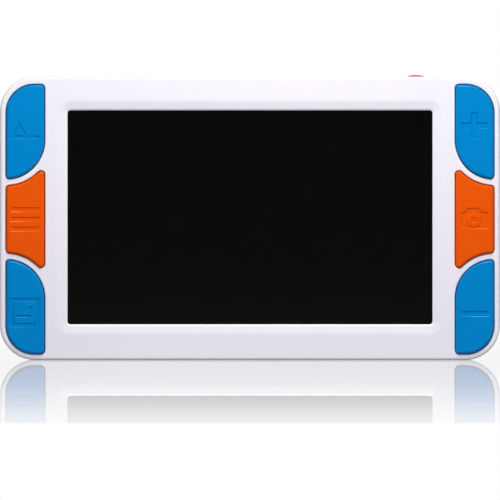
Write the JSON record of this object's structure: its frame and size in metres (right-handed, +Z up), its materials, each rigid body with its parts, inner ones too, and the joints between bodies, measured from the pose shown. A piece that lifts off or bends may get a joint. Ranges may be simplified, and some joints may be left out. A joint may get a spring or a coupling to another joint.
{
  "type": "video magnifier",
  "caption": "Hand-held digital magnifier: flat case with a screen between two columns of large keys, and a camera, lamps, battery door and fold-out stand on the back.",
  "frame": {"origin": "middle of the footprint, on the case's bottom edge, halfway through its depth", "axes": "+X to the right seen from the screen side, +Y from the screen to the back, +Z up; the case stands on its bottom edge"},
  "size_m": [0.15, 0.024, 0.0856],
  "materials": {
    "white_case": "fine satin moulded plastic",
    "screen_glass": "black-backed, polished",
    "lcd_glass": "dark, polished",
    "backlight_plastic": "smooth moulded",
    "amber_film": "flexible circuit film",
    "blue_key": "satin moulded plastic",
    "orange_key": "satin moulded plastic",
    "red_key": "satin moulded plastic",
    "black_plastic": "matte moulded plastic",
    "board_laminate": "green solder mask",
    "plated_steel": "bright plated sheet",
    "battery_pouch": "wrapped foil pouch",
    "clear_lens": "clear, polished",
    "lamp_lens": "clear epoxy dome",
    "rubber": "matte",
    "pin_steel": "ground rod",
    "screw_steel": "nickel-plated"
  },
  "bodies": {
    "case": {"front_housing": "white_case", "rear_housing": "white_case", "screen_window": "screen_glass", "lcd_panel": "lcd_glass", "backlight_tray": "backlight_plastic", "screen_flex": "amber_film", "key_flex_left": "amber_film", "key_flex_right": "amber_film", "switch_colour_mode": "black_plastic", "switch_menu": "black_plastic", "switch_gallery": "black_plastic", "switch_zoom_in": "black_plastic", "switch_freeze": "black_plastic", "switch_zoom_out": "black_plastic", "key_board_left": "board_laminate", "key_board_right": "board_laminate", "main_board": "board_laminate", "camera_board": "board_laminate", "power_switch": "black_plastic", "memory_chip": "black_plastic", "buzzer": "black_plastic", "av_jack": "black_plastic", "battery_contacts": "black_plastic", "camera_connector": "black_plastic", "lens_holder": "black_plastic", "lens_barrel": "black_plastic", "processor_shield": "plated_steel", "usb_socket": "plated_steel", "card_socket": "plated_steel", "battery": "battery_pouch", "lens_glass": "clear_lens", "camera_window": "clear_lens", "lamp_left": "lamp_lens", "lamp_right": "lamp_lens", "foot_top_left": "rubber", "foot_bottom_left": "rubber", "foot_top_right": "rubber", "foot_bottom_right": "rubber", "stand_pin_left": "pin_steel", "stand_pin_right": "pin_steel", "case_screw_top_left": "screw_steel", "case_screw_bottom_left": "screw_steel", "case_screw_top_right": "screw_steel", "case_screw_bottom_right": "screw_steel"},
    "colour_mode_key": {"key_colour_mode": "blue_key", "plunger_colour_mode": "black_plastic"},
    "menu_key": {"key_menu": "orange_key", "plunger_menu": "black_plastic"},
    "gallery_key": {"key_gallery": "blue_key", "plunger_gallery": "black_plastic"},
    "zoom_in_key": {"key_zoom_in": "blue_key", "plunger_zoom_in": "black_plastic"},
    "freeze_key": {"key_freeze": "orange_key", "plunger_freeze": "black_plastic"},
    "zoom_out_key": {"key_zoom_out": "blue_key", "plunger_zoom_out": "black_plastic"},
    "power_key": {"power_button": "red_key"},
    "battery_cover": {"battery_door": "white_case"},
    "back_stand": {"stand": "white_case", "stand_strip": "rubber"}
  },
  "joints": [
    {"name": "colour_mode_press", "type": "slide", "parent": "case", "child": "colour_mode_key", "axis": [0, 1, 0], "range_m": [0, 0.0004], "stiffness_N_per_m": 2500},
    {"name": "menu_press", "type": "slide", "parent": "case", "child": "menu_key", "axis": [0, 1, 0], "range_m": [0, 0.0004], "stiffness_N_per_m": 2500},
    {"name": "gallery_press", "type": "slide", "parent": "case", "child": "gallery_key", "axis": [0, 1, 0], "range_m": [0, 0.0004], "stiffness_N_per_m": 2500},
    {"name": "zoom_in_press", "type": "slide", "parent": "case", "child": "zoom_in_key", "axis": [0, 1, 0], "range_m": [0, 0.0004], "stiffness_N_per_m": 2500},
    {"name": "freeze_press", "type": "slide", "parent": "case", "child": "freeze_key", "axis": [0, 1, 0], "range_m": [0, 0.0004], "stiffness_N_per_m": 2500},
    {"name": "zoom_out_press", "type": "slide", "parent": "case", "child": "zoom_out_key", "axis": [0, 1, 0], "range_m": [0, 0.0004], "stiffness_N_per_m": 2500},
    {"name": "power_press", "type": "slide", "parent": "case", "child": "power_key", "axis": [0, 0, -1], "range_m": [0, 0.0003], "stiffness_N_per_m": 3000},
    {"name": "battery_door_lift", "type": "slide", "parent": "case", "child": "battery_cover", "axis": [0, 1, 0], "range_m": [0, 0.012]},
    {"name": "stand_hinge", "type": "hinge", "parent": "case", "child": "back_stand", "pos_m": [0, 0.0083, 0.075], "axis": [1, 0, 0], "range_deg": [0, 90]}
  ]
}
